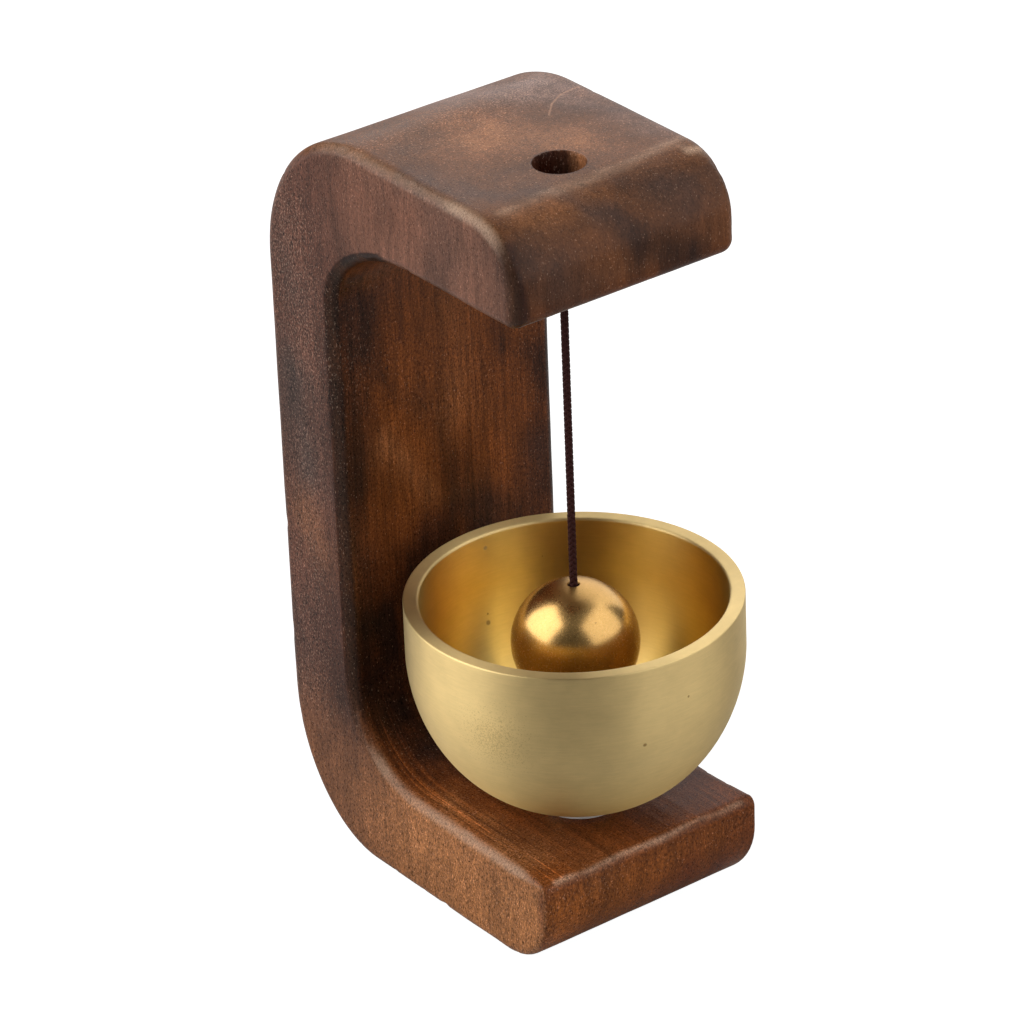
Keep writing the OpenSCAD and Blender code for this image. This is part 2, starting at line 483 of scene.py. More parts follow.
def braid(name, line, phase=0.0):
    """A braided cord along a line of points in millimetres, as one mesh."""
    first, second = frames_along(line)
    length = along(line)
    parts = []
    turn_rate = 2 * np.pi / BRAID_PITCH
    for way in (1, -1):
        for strand in range(STRANDS_EACH_WAY):
            angle = (way * turn_rate * length + phase
                     + strand * 2 * np.pi / STRANDS_EACH_WAY)
            radius = BRAID_R + way * BRAID_WAVE * np.cos(STRANDS_EACH_WAY * turn_rate * length)
            out = first * np.cos(angle)[:, None] + second * np.sin(angle)[:, None]
            path = line + out * radius[:, None]
            tangent = unit(np.gradient(path, axis=0))
            across = unit(np.cross(out, tangent))
            lift = np.cross(tangent, across)
            parts.append(tube(path, across, lift, STRAND_WIDTH, STRAND_THICK, STRAND_SIDES))
    parts.append(tube(line, first, second, 2 * CORE_R, 2 * CORE_R, STRAND_SIDES))
    starts = np.cumsum([0] + [len(points) for points, faces in parts])
    all_faces = [
        [i + start for i in face] for start, (points, faces) in zip(starts, parts)
        for face in faces]
    thing = mesh_object(name, np.vstack([points for points, faces in parts]), all_faces)
    smooth(thing, crease=80)
    return thing


def straight(low_z, high_z):
    """Points up the line of the cord."""
    count = max(2, round((high_z - low_z) / CORD_STEP))
    return np.stack([
        np.zeros(count), np.full(count, AXIS_Y), np.linspace(high_z, low_z, count)], axis=1)


# An overhand knot round the line of the cord, as multiples of the cord's diameter:
# up out of the hole, round, over itself and through, then a short tail.
KNOT_ROUTE = [
    (0, 0, 0), (0.1, -0.35, 0.5), (0.75, -0.6, 1.05), (1.05, 0.25, 1.3),
    (0.35, 0.95, 1.05), (-0.6, 0.75, 0.75), (-0.95, -0.1, 0.95), (-0.45, -0.75, 1.45),
    (0.45, -0.55, 1.9), (0.45, 0.2, 1.75), (-0.1, 0.35, 1.45), (-0.2, 0.05, 2.1),
    (-0.1, -0.05, 2.7)]

# How far the cord in the arm runs on into its knot, how far off its seat each knot's line
# starts, and the lower knot's size as a share of the upper one's.
CORD_OVERLAP = 0.3
TOP_KNOT_LIFT = 0.2
BALL_KNOT_LIFT = 0.1
BALL_KNOT_SIZE = 0.92


def knot_line(z, way, size, tail):
    """The knot's line from height z, upwards if way is 1, with the last points cut off."""
    route = np.array(KNOT_ROUTE[:len(KNOT_ROUTE) - tail]) * CORD_D * size
    route[:, 2] *= way
    return curve_through(route + [0, AXIS_Y, z], CORD_STEP)


def make_cords(cord_material):
    """The hanging cord, the stretch in the arm and the two knots."""
    line = straight(CORD_LOW[2], CORD_HIGH[2])
    hanging = braid("striker_cord_braid", line)
    finished(hanging, "hanging_cord", "cord", cord_material, "striker_cord")

    in_arm = braid("arm_cord_braid", straight(ARM_CORD_LOW[2], ARM_CORD_HIGH[2] + CORD_OVERLAP))
    finished(in_arm, "cord_top", "cord", cord_material, "cord_in_arm")
    upper = braid("top_knot_braid", knot_line(TOP_KNOT_FOOT + TOP_KNOT_LIFT, 1, 1.0, 0))
    finished(upper, "cord_top", "cord", cord_material, "top_knot")
    lower = braid("ball_knot_braid", knot_line(
        BALL_KNOT_TOP - BALL_KNOT_LIFT, -1, BALL_KNOT_SIZE, 1))
    finished(lower, "hanging_cord", "cord", cord_material, "ball_knot")


# ---------------- bracket

def outer_path(inset):
    """Outside of the C, from the front of the lower arm round the back to the top arm."""
    return path_of([
        ((BASE_DEPTH - FRONT_FOOT_R[0], FRONT_FOOT_R[1]), FRONT_FOOT_R - inset, 0, -90),
        (BACK_FOOT_R, BACK_FOOT_R - inset, 270, 180),
        ((BACK_TOP_R[0], BRACKET_H - BACK_TOP_R[1]), BACK_TOP_R - inset, 180, 90),
        (np.array([TOP_DEPTH, BRACKET_H]) - FRONT_TOP_R, FRONT_TOP_R - inset, 90, 0)])


def inner_path(inset):
    """Inside of the C, in the same order and with as many points."""
    arm_z = BRACKET_H - TOP_T
    base_nose = np.array([BASE_NOSE_R, BASE_NOSE_R]) - inset
    arm_nose = np.array([ARM_NOSE_R, ARM_NOSE_R]) - inset
    return path_of([
        ((BASE_DEPTH - BASE_NOSE_R, BASE_T - BASE_NOSE_R), base_nose, 0, 90),
        (np.array([SPINE_T, BASE_T]) + INNER_FOOT_R, INNER_FOOT_R + inset, 270, 180),
        ((SPINE_T + INNER_TOP_R[0], arm_z - INNER_TOP_R[1]), INNER_TOP_R + inset, 180, 90),
        ((TOP_DEPTH - ARM_NOSE_R, arm_z + ARM_NOSE_R), arm_nose, 270, 360)])


def path_of(bends):
    """Arcs, each from its centre, radii and two angles, joined by straight stretches."""
    arcs = [arc(*bend, steps) for bend, steps in zip(bends, OUTLINE_STEPS[::2])]
    pieces = [arcs[0]]
    for arc_points, steps in zip(arcs[1:], OUTLINE_STEPS[1::2]):
        start, end = pieces[-1][-1], arc_points[0]
        share = np.linspace(0, 1, steps + 1)[1:-1, None]
        pieces += [start + (end - start) * share, arc_points]
    return np.vstack(pieces)


def bracket_ring(inset):
    """The closed outline: outside, top front, inside in reverse, lower front."""
    outer, inner = outer_path(inset), inner_path(inset)
    share = np.linspace(0, 1, RUNGS + 1)[1:-1, None]
    top_front = outer[-1] + (inner[-1] - outer[-1]) * share
    low_front = inner[0] + (outer[0] - inner[0]) * share
    return np.vstack([outer, top_front, inner[::-1], low_front])


def edge_softness(ring):
    """Share of the edge radius at each point of the outline: less at the base's front."""
    depth, height = ring.T
    front = ramp(depth, TOP_DEPTH - 3, TOP_DEPTH - 0.5) * ramp(height, 60, 30)
    soft = 1 - (1 - FRONT_EDGE) * front
    window = np.ones(EDGE_BLEND) / EDGE_BLEND
    padded = np.concatenate([soft[-EDGE_BLEND:], soft, soft[:EDGE_BLEND]])
    return np.convolve(padded, window, "same")[EDGE_BLEND:-EDGE_BLEND]


def bracket_shell():
    """Points and faces of the C, ring after ring from the left side to the right."""
    sharp, inward = bracket_ring(0.0), bracket_ring(1.0)
    radius = EDGE_R * edge_softness(sharp)
    half = BRACKET_W / 2
    turn = np.radians(np.linspace(0, 90, ROUND_COLUMNS + 1))
    rounds = [(half - radius * (1 - np.cos(t)), radius * (1 - np.sin(t))) for t in turn]
    share = np.linspace(-1, 1, FLAT_COLUMNS + 1)[1:-1]
    levels = [(-x, inset) for x, inset in rounds]
    levels += [((half - radius) * part, 0 * radius) for part in share]
    levels += rounds[::-1]
    rings = []
    for x, inset in levels:
        outline = sharp + (inward - sharp) * inset[:, None]
        rings.append(np.stack([x, BACK_Y - outline[:, 0], outline[:, 1]], axis=1))
    points = np.vstack(rings)
    size = len(sharp)
    faces = grid(len(rings), size).tolist()

    # A side face's points, rung by rung from the outside in. Its border is the ring's own.
    last = len(outer_path(0)) - 1
    rung, step = np.arange(last + 1), np.arange(RUNGS + 1)
    border = np.full((last + 1, RUNGS + 1), -1)
    border[:, 0] = rung
    border[:, RUNGS] = 2 * last + RUNGS - rung
    border[last] = last + step
    border[0] = -step % size
    for level, flip in ((0, False), (len(rings) - 1, True)):
        outer, inner = (rings[level][border[:, j], None] for j in (0, RUNGS))
        filled = (outer + (inner - outer) * step[:, None] / RUNGS)[1:-1, 1:-1]
        table = border + level * size
        table[1:-1, 1:-1] = np.arange(filled[..., 0].size).reshape(last - 1, -1) + len(points)
        points = np.vstack([points, filled.reshape(-1, 3)])
        quads = np.stack([
            table[:-1, :-1], table[:-1, 1:], table[1:, 1:], table[1:, :-1]], axis=-1)
        quads = quads[..., ::-1] if flip else quads
        faces += quads.reshape(-1, 4).tolist()
    return points, faces


# The wood's colours, linear, for each face and for the marks in its figure.
WOOD = {
    "side": (0.083, 0.033, 0.021),
    "arm": (0.15, 0.066, 0.041),
    "top": (0.116, 0.042, 0.014),
    "front": (0.168, 0.060, 0.022),
    "inner": (0.15, 0.042, 0.009),
    "low": (0.265, 0.107, 0.0385),
    "foot": (0.19, 0.056, 0.011),
    # painted shade for the inside of the cord's hole
    "hole": (0.032, 0.006, 0.002),
    "ink": (0.018, 0.008, 0.006),
    "slate": (0.05, 0.028, 0.022),
    "smoke": (0.2, 0.12, 0.095),
    "amber": (0.31, 0.125, 0.05),
    "plum": (0.135, 0.048, 0.026),
    "bole": (0.105, 0.026, 0.009),
    "umber": (0.042, 0.014, 0.007),
    "burn": (0.016, 0.0045, 0.0022),
    "straw": (0.60, 0.40, 0.27),
    "fleck": (0.55, 0.42, 0.32),
    # paler edges: wear, and a painted highlight
    "rubbed_and_highlight": (0.50, 0.34, 0.23),
    "scratch": (0.62, 0.33, 0.20),
    "pore": (0.022, 0.01, 0.007),
    "groove": (0.02, 0.008, 0.004)}

# Places in millimetres, and slopes of a face, from where a tone isn't seen to where it is full.
SPINE_Z, SPINE_Y = (20, 28), (0, 6)
ARM_Z, ARM_Y = (60, 90), (6, 0)
INSIDE_LOW_Z = (BASE_T - 4, BASE_T - 0.5)
INSIDE_HIGH_Z = (PIVOT_Z + 4, PIVOT_Z + 0.5)
INSIDE_Y = (INNER_Y + 3.6, INNER_Y + 2.2)
ARM_TONE_Z, ARM_TONE_Y = (90, 98), (22, 6)
TOP_Z, LOW_Z, FOOT_Z = (90, 100), (32, 8), (30, 20)
LOW_Y = (26, -2)
FACES_FRONT, FACES_UP = (-0.4, -0.8), (0.35, 0.85)
BURNT_TURN = (0.1, 0.45)

# How far sideways a face turns before it has the side's tone, none and full: on the whole,
# more along the spine, where the edge is crisp, and less along the arm, where it is worn.
SIDE_TURN = [(0.55, 0.432, 0.35), (0.90, 0.098, 0.30)]

# The marks: colour, strength, width, and the route that each follows.
MARKS = [
    ("smoke", 0.9, 6, [(4, 20, 108), (13, 11, 110)]),
    ("smoke", 0.7, 3.5, [(15, 8, 110), (17, -10, 110)]),
    ("slate", 0.4, 2.5, [(11, 3, 110), (17, -3, 109)]),
    ("amber", 0.6, 5, [(-4, 4, 110), (4, -3, 110)]),
    ("amber", 0.4, 3, [(-12, -19, 110), (-3, -18, 110)]),
    ("slate", 0.5, 2.2, [(-17, 0, 110), (-15, -9, 110), (-9, -15, 110)]),
    ("slate", 0.6, 2, [(-7, -15, 110), (-3, -18, 109), (0, -21.5, 105), (3, -23, 102)]),
    ("slate", 0.5, 2.2, [(4, -18.5, 109), (8, -19.5, 108)]),
    ("ink", 0.75, 4.5, [(3, -23, 101), (10, -23, 99)]),
    ("slate", 0.6, 3.5, [(11, -21, 106), (17, -20, 106)]),
    ("ink", 0.6, 3.8, [(-15, -22, 104), (-12, -23, 98)]),
    ("slate", 0.5, 3, [(-12, -22, 104), (-7, -23, 99)]),
    ("umber", 1.4, 1.5, [(-17.6, -21.2, 105.8), (-17.3, -23.1, 102), (-17.2, -23.1, 97)]),
    ("straw", 0.22, 0.8, [(-14.7, -16, 110), (-5, -16, 110), (12, -14.7, 110), (17, -14, 110)]),
    ("bole", 0.6, 0.7, [(-18.2, -24.6, 13), (-18.2, -24.9, 3)]),
    ("slate", 0.35, 2.6, [(-18.2, -10, 110), (-18.2, -8, 97)]),
    ("plum", 0.35, 6, [(-18.2, 0, 103), (-18.2, 14, 103)]),
    ("slate", 0.4, 4, [(-18.2, 31, 100), (-18.2, 26, 84)]),
    ("slate", 0.9, 4.8, [(-18.2, 28, 71), (-18.2, 24, 58)]),
    ("low", 0.22, 4, [(-18.2, 27, 51), (-18.2, 23, 46)]),
    ("slate", 0.25, 3, [(-18.2, 24, 44), (-18.2, 26, 28)]),
    ("slate", 0.4, 3.5, [(-18.2, 31, 34), (-18.2, 31, 22)]),
    ("ink", 0.9, 1.7, [(-18.3, 18.6, 79), (-18.3, 18.6, 56)]),
    ("arm", 0.4, 5, [(-12, 16, 88), (6, 14, 93)]),
    ("umber", 0.75, 3.2, [(-15.5, 17.6, 90), (-15.5, 17.6, 28)]),
    ("ink", 0.6, 2.8, [(-13.5, 17.6, 83), (-12.5, 17.6, 77)]),
    ("ink", 0.42, 2.2, [(-10, 17.6, 73), (-7, 17.6, 68), (-1.7, 17.6, 61), (3, 17.6, 51)]),
    ("ink", 0.65, 2.8, [(-16.5, 17.6, 62), (-14.8, 17.6, 57.5)]),
    ("ink", 0.5, 0.5, [(-7.1, 17.6, 92), (-7.1, 17.6, 77)]),
    ("amber", 0.25, 2.3, [(-11, 17.6, 62), (-4, 17.6, 53)]),
    ("amber", 0.2, 4.5, [(1, 17.6, 82), (1, 17.6, 64)]),
    ("ink", 0.6, 4, [(-4, 17.6, 45), (2, 17.6, 48), (7, 17.6, 47)]),
    # Partly darker heartwood and partly painted shade, on the lower spine behind the bowl.
    ("ink", 0.95, 9, [(-14, 17.6, 30), (-7, 17.6, 38), (10, 17.6, 37)]),
    ("ink", 0.5, 2.4, [(9.4, 17.6, 74), (9.8, 17.6, 69)]),
    ("ink", 0.55, 3.2, [(15, 17.6, 67), (15.5, 17.6, 46)]),
    ("ink", 0.5, 2, [(17.5, 17.6, 90), (17.5, 17.6, 45)]),
    # Dark patches from the foot of the spine over the base's top under the bowl: partly darker
    # wood and partly painted shade from the bowl.
    ("ink", 0.9, 6.5, [(-12, 16, 20), (-4, 8, 15), (2, -4, 14.6)]),
    ("bole", 0.8, 6, [(8, 0, 14.6), (14, -16, 14.6)]),
    ("ink", 0.65, 9, [(2, 2, 14.6), (11, -12, 14.6)]),
    ("bole", 0.7, 6, [(6, -25, 5), (17, -25, 6)]),
    ("amber", 0.2, 4, [(-12, -14, 14.6), (-9, -22, 14.6)]),
    ("slate", 0.5, 5, [(10, 32, 92), (6, 32, 60)]),
    ("slate", 0.5, 4, [(-12, 32, 50), (-8, 32, 22)]),
    ("slate", 0.6, 4.5, [(18.2, 24, 95), (18.2, 26, 70)]),
    ("slate", 0.5, 4, [(18.2, 22, 50), (18.2, 27, 30)]),
    ("slate", 0.4, 3.5, [(18.2, -6, 105), (18.2, -14, 98)]),
    ("straw", 0.5, 0.7, [(15, -17, 110), (16.8, -17.4, 109.6)]),
    ("low", 0.5, 3, [(-15, 2, 14.6), (-15, -18, 14.6)]),
    ("straw", 0.35, 0.45, [(-16, -24.6, 14.4), (16, -24.6, 14.4)])]

# The fine scratch across the top arm, behind the cord's hole.
SCRATCH = [(8, 3, 110), (10.5, 5.6, 110), (13.2, 7.2, 110), (16.5, 7.6, 110)]

# Where the edges are paler, partly from wear and partly as a painted highlight of the left light
# on the rounded left edges: strength, width and route.
RUBBED_AND_HIGHLIT_EDGES = [
    (0.45, 2.2, [(-17.6, 12, 17), (-17.6, 0, 14.2), (-17.6, -19, 14.2)]),
    (0.2, 2.5, [(-17.6, 18, 109), (-17.6, -6, 109.4)]),
    (0.7, 2.5, [(-17.6, -11, 109.2), (-17.6, -17, 107.8)])]


def nearness(routes, spots):
    """How near each spot is to any of the routes, each with its strength and width."""
    return sum(
        strength * bell(distance_to(route, spots), width) for strength, width, route in routes)


def distance_to(route, spots):
    """Distance of each spot from a line through the route's points."""
    route = np.array(route, float)
    best = np.full(len(spots), np.inf)
    for start, end in zip(route, route[1:]):
        line = end - start
        share = np.clip((spots - start) @ line / line.dot(line), 0, 1)
        best = np.minimum(best, np.linalg.norm(spots - start - share[:, None] * line, axis=1))
    return best


def depth_in_gap(spots):
    """How far each point is inside the space between the arms, at most a millimetre."""
    y, z = spots[:, 1], spots[:, 2]
    room = [z - BASE_T + 0.6, PIVOT_Z + 0.6 - z, INNER_Y + 0.6 - y]
    return np.clip(np.min(room, axis=0), 0, 1)


def wood_tone(spots, facing):
    """The broad colour of the wood at each point of the bracket, with the painted shade and
    painted lit wall in the cord's hole and painted shade under the bowl.
    """
    x, y, z = spots.T
    along_spine = ramp(z, *SPINE_Z) * ramp(y, *SPINE_Y)
    along_arm = ramp(z, *ARM_Z) * ramp(y, *ARM_Y)
    sideways = np.abs(facing[:, 0])
    to_front = ramp(facing[:, 1], *FACES_FRONT)
    side = ramp(sideways, *(
        turn + more * along_spine - less * along_arm for turn, more, less in SIDE_TURN))
    inside = ramp(z, *INSIDE_LOW_Z) * ramp(z, *INSIDE_HIGH_Z)
    inside *= ramp(y, *INSIDE_Y)
    tone = np.tile(np.array(WOOD["side"]), (len(spots), 1))
    for name, share in (
            ("arm", ramp(y, *ARM_TONE_Y) * ramp(z, *ARM_TONE_Z)),
            ("front", to_front),
            ("top", ramp(facing[:, 2], *FACES_UP) * ramp(z, *TOP_Z)),
            ("low", ramp(z, *LOW_Z) * (0.4 + 0.6 * ramp(y, *LOW_Y))),
            ("foot", ramp(z, *FOOT_Z) * to_front),
            ("inner", inside * (1 - side))):
        tone = blend(tone, WOOD[name], share)
    drift = np.stack([fractal(spots * [1, 1, 0.5], 6.0, 2, k) for k in (1, 2, 3)], axis=1)
    ragged = 1 + 0.45 * fractal(spots * [1, 1, 0.4], 4.0, 3, 4)
    for colour, strength, width, route in MARKS:
        near = distance_to(route, spots + drift * min(2.2, width))
        share = strength * ragged * bell(near, width)
        tone = blend(tone, WOOD[colour], np.clip(share, 0, 1))
    burnt = 0.9 * inside * along_spine * (1 - side) * ramp(sideways, *BURNT_TURN) * ragged
    tone = blend(tone, WOOD["burn"], np.clip(burnt, 0, 1))
    cloud = fractal(spots * [1, 1, 0.4], 7.0, 4, 5)
    tone = tone * (1 + 0.30 * cloud)[:, None]
    from_axis = np.hypot(x, y - AXIS_Y)
    # Painted light in the cord's hole: painted shade over its inside, and a painted lit patch in
    # amber on its upper right wall.
    hole_shade_and_lit_wall = ramp(from_axis, COUNTERBORE_R + 0.3, COUNTERBORE_R + 0.05)
    tone = blend(tone, WOOD["hole"], hole_shade_and_lit_wall * ramp(z, BASE_T + 0.1, BASE_T + 0.2))
    return blend(tone, WOOD["amber"], 0.7 * hole_shade_and_lit_wall * ramp(x, 2.7, 3.5) * ramp(z, 103, 107))


# How far the surface is off its outline, in millimetres.
UNEVEN = 0.07
GROOVE = 0.035
CHIP = 0.16


def roughen(shell):
    """Hand-sanded unevenness, saw marks on the inner faces and small chips on the edges."""
    spots, facing = positions(shell), point_vectors(shell, "normal")
    across = facing[:, 0] ** 2
    edge = 4 * across * (1 - across)
    push = UNEVEN * fractal(spots, 12.0, 2, 6)
    saw = fractal(spots * [1, 0.02, 0.02], 1.1, 2, 7)
    push += GROOVE * saw * depth_in_gap(spots) * (1 - across)
    chips = ramp(fractal(spots * [1, 1, 0.6], 1.6, 3, 8), 0.35, 0.7)
    push -= CHIP * chips * edge
    push = np.minimum(push, UNEVEN)
    moved = spots + facing * push[:, None]
    moved[:, 2] = np.maximum(moved[:, 2], 0)
    shell.data.vertices.foreach_set("co", (moved * MM).ravel())
    shell.data.update()


# Where pale flecks are thickest: strength, width and route.
SPECKLED = [
    (1, 8, [(-18.2, 28, 95), (-18.2, 24, 75)]),
    (0.8, 7, [(-18.2, 26, 60), (-18.2, 27, 25)]),
    (0.8, 8, [(-12, 12, 110), (12, 12, 110)]),
    (0.4, 8, [(-12, -6, 110), (12, -8, 110)]),
    (0.5, 9, [(-18.2, 10, 8), (-18.2, -20, 8)]),
    (0.5, 9, [(18.2, 27, 95), (18.2, 27, 25)])]

# Pale saw lines on the lower arm, at the left and right: strength, place in x and width.
SAW_LINES = [(1.0, -14.8, 1.7), (0.8, 11, 5.0)]


def drill(name, steps, sides, centre=(0, AXIS_Y)):
    """A solid turned from steps of [radius, height], with flat ends."""
    closed_off = [(0, steps[0][1]), *steps, (0, steps[-1][1])]
    return lathe(name, closed_off, sides, centre, closed=False)


def bracket_cutters():
    """The cord's stepped hole, the screw's pilot hole and the two pockets for magnets."""
    cutters = [
        drill("counterbore", [
            (COUNTERBORE_R, COUNTERBORE_Z), (COUNTERBORE_R, BRACKET_H - 0.2),
            (COUNTERBORE_R + 0.15, BRACKET_H + 0.1), (COUNTERBORE_R + 0.15, BRACKET_H + 2)], 96),
        drill("arm_hole", [
            (ARM_HOLE_R + 0.3, PIVOT_Z - 2), (ARM_HOLE_R + 0.3, PIVOT_Z),
            (ARM_HOLE_R, PIVOT_Z + 0.4), (ARM_HOLE_R, COUNTERBORE_Z + 2)], 48),
        drill("pilot", [(PILOT_R, SCREW_LOW[2] - 0.1), (PILOT_R, BASE_T + 2)], 48)]
    for node in ("upper_magnet", "lower_magnet"):
        low, high = box_mm(node)
        radius, depth = (high[0] - low[0]) / 2 + MAGNET_GAP, high[1] - low[1] + MAGNET_GAP
        pocket = drill(node + "_pocket", [(radius, -1), (radius, depth)], 96, (0, 0))
        pocket.matrix_world = lay_back(BACK_Y, (low[2] + high[2]) / 2)
        cutters.append(pocket)
    for cutter in cutters:
        smooth(cutter)
    return cutters


def paint_bracket(shell):
    """Stores what the walnut material reads: its broad tone, and where each kind of mark is."""
    spots, facing = positions(shell), point_vectors(shell, "normal")
    x, y, z = spots.T
    across = facing[:, 0] ** 2
    paint(shell, "tone", np.clip(wood_tone(spots, facing), 0.002, 0.9))
    # Paler rounded edges: a little wear all round, and a painted highlight of the left light on
    # the rounded left edges.
    paint(shell, "worn_and_highlit", 4 * across * (1 - across) * (0.05 + nearness(RUBBED_AND_HIGHLIT_EDGES, spots)))
    inner = ramp(depth_in_gap(spots), 0, 0.5) * ramp(across, 0.5, 0.2)
    paint(shell, "sawn", inner)
    left, right = (
        strength * bell(x - middle, width) for strength, middle, width in SAW_LINES)
    lines = np.maximum(left, right * ramp(y, -14, -2))
    paint(shell, "scored", inner * ramp(z, 26, 18) * lines)
    specks = nearness(SPECKLED, spots)
    paint(shell, "speckled", np.clip(specks, 0, 1))
    arm = ramp(z, 88, 98) * ramp(y, 24, 12)
    end_face = arm * ramp(facing[:, 1], *FACES_FRONT)
    paint(shell, "coarse", 0.8 - 0.35 * arm - 0.15 * end_face + 0.5 * specks)


def make_bracket(material):
    shell = mesh_object("walnut_bracket_wood", *bracket_shell())
    smooth(shell, 60)
    roughen(shell)
    cut(shell, bracket_cutters())
    smooth(shell, 38)
    paint_bracket(shell)
    return finished(shell, "bracket", "walnut", material, "walnut_bracket")


# ---------------- bowl and fixings

BOWL_R = (BOWL_HIGH[0] - BOWL_LOW[0]) / 2
BOWL_WALL = 2.1
BOWL_STRAIGHT = 7.8
BOWL_FOOT_R = 5.3
BOWL_BASE_R = 6.0
BOWL_FLOOR_R = 4.6
BOWL_HOLE_R = 1.95
BOWL_FOOT_TOP = BOWL_LOW[2] + 2.0
BOWL_POWER = 2 / 1.9
BOWL_SIDES = 144
OUTER_RIM_R = 0.22
INNER_RIM_R = 0.42


def bowl_side(r0, z0, r1, z1, steps):
    """Side of the bowl: flat at the bottom, [r0, z0], and upright at the top, [r1, z1]."""
    turn = np.radians(np.linspace(0, 90, steps + 1))
    return np.stack([
        r0 + (r1 - r0) * np.sin(turn) ** BOWL_POWER,
        z1 - (z1 - z0) * np.cos(turn) ** BOWL_POWER], axis=1)


def middle_of_wall(outside, inside, rim_z):
    """Heights up the bowl, and the radius halfway through its wall at each."""
    heights = np.append(outside[:, 1], rim_z)
    outer_r = np.append(outside[:, 0], BOWL_R)
    inner_r = np.interp(heights, inside[:, 1], inside[:, 0], left=0)
    return heights, (outer_r + inner_r) / 2


def make_bowl(material):
    rim_z, wall_z = BOWL_HIGH[2], BOWL_HIGH[2] - BOWL_STRAIGHT
    inner_r = BOWL_R - BOWL_WALL
    straight_steps = np.linspace(0, 1, 24)[1:-1, None]
    outside = bowl_side(BOWL_BASE_R, BOWL_FOOT_TOP, BOWL_R, wall_z, 100)
    inside = bowl_side(BOWL_FLOOR_R, BOWL_FLOOR_Z, inner_r, wall_z, 90)
    middle_r = (BOWL_R + inner_r) / 2
    outer_rim = rounded([
        (BOWL_R, rim_z - 1), (BOWL_R, rim_z), (middle_r, rim_z)], OUTER_RIM_R, 4, closed=False)
    inner_rim = rounded([
        (middle_r, rim_z), (inner_r, rim_z), (inner_r, rim_z - 1)], INNER_RIM_R, 6, closed=False)
    foot = rounded([
        (BOWL_HOLE_R, BOWL_FLOOR_Z), (BOWL_HOLE_R, BOWL_LOW[2]), (BOWL_FOOT_R, BOWL_LOW[2]),
        (BOWL_FOOT_R, BOWL_FOOT_TOP - 0.05)], 0.2, 4, closed=False)
    up = outside[-1] + (outer_rim[0] - outside[-1]) * straight_steps
    down = inner_rim[-1] + (inside[-1] - inner_rim[-1]) * straight_steps
    flat_top = outer_rim[-2] + (inner_rim[1] - outer_rim[-2]) * np.linspace(0, 1, 8)[1:-1, None]
    profile = np.vstack([
        foot, outside, up, outer_rim[:-1], flat_top, inner_rim[1:], down, inside[::-1]])
    bowl = lathe("brass_bowl_turned", profile, BOWL_SIDES, (0, AXIS_Y))
    smooth(bowl, 50)
    spots = positions(bowl)
    radius = np.hypot(spots[:, 0], spots[:, 1] - AXIS_Y)
    middle = np.interp(spots[:, 2], *middle_of_wall(outside, inside, rim_z))
    inner = (radius < middle) & (spots[:, 2] < rim_z - INNER_RIM_R)
    paint(bowl, "inside", inner.astype(float))
    return finished(bowl, "bracket", "satin_brass", material, "brass_bowl")


BALL_BORE_R = 0.68
BALL_MOUTH_R = 0.9
POCKET_R = 2.1
POCKET_Z = 34.7


def make_ball(material):
    top = math.degrees(math.acos(BALL_MOUTH_R / BALL_R))
    pocket_edge = math.degrees(math.acos((POCKET_R + 0.15) / BALL_R))
    outside = arc((0, BALL_Z), (BALL_R, BALL_R), top, -pocket_edge, 110)
    low_z = BALL_Z - math.sqrt(BALL_R ** 2 - POCKET_R ** 2)
    inside = rounded([
        outside[-1], (POCKET_R, low_z + 0.25), (POCKET_R, POCKET_Z), (BALL_BORE_R, POCKET_Z),
        (BALL_BORE_R, outside[0][1] - 0.35), outside[0]], 0.12, 3, closed=False)
    ball = lathe("striker_ball_brass", np.vstack([outside, inside[1:-1]]), 128, (0, AXIS_Y))
    smooth(ball, 45)
    spots = positions(ball)
    across = np.hypot(spots[:, 0], spots[:, 1] - AXIS_Y)
    deep = np.linalg.norm(spots - [0, AXIS_Y, BALL_Z], axis=1) < BALL_R - 0.1
    # Painted shade: the inside of the bore is painted dark.
    paint(ball, "painted_bore_shade", (deep & (across < POCKET_R + 0.1)).astype(float))
    return finished(ball, "ball", "aged_brass", material, "striker_ball")


def make_washer(name, node, hole_r, slot, material):
    """A flat ring with softly broken edges, in place of a CAD washer."""
    low, high = box_mm(node)
    outer_r = (high[0] - low[0]) / 2
    profile = rounded([
        (hole_r, low[2]), (outer_r, low[2]), (outer_r, high[2]), (hole_r, high[2])],
        min(0.15, (high[2] - low[2]) * 0.3), 3)
    washer = lathe(name, profile, 96, (0, AXIS_Y))
    smooth(washer, 50)
    return finished(washer, "bracket", slot, material, node)


THREAD_PITCH = 1.3
THREAD_TURNS = 8
SCREW_R = 1.75
SCREW_CORE_R = 1.25
SCREW_HEAD_R = 3.5
SCREW_HEAD_T = 2.4
CROSS_REACH = 2.0
CROSS_WIDTH = 0.42
CROSS_DEPTH = 1.25


def screw_radius(z, turn):
    """Radius of the screw's shank at a height above its tip, at an angle."""
    tip = min(1.0, (z / 3.0) ** 0.7 * 0.92 + 0.08)
    core = SCREW_CORE_R * tip
    thread_end = THREAD_TURNS * THREAD_PITCH
    if z > thread_end:
        runout = min(1.0, (z - thread_end) / 0.5)
        return core + (SCREW_R - 0.1 - core) * runout
    lead = (z / THREAD_PITCH - turn / (2 * math.pi)) % 1.0
    ridge = max(0.0, 1 - abs(lead - 0.5) / 0.32) ** 0.8
    return core + (SCREW_R - SCREW_CORE_R) * ridge * tip


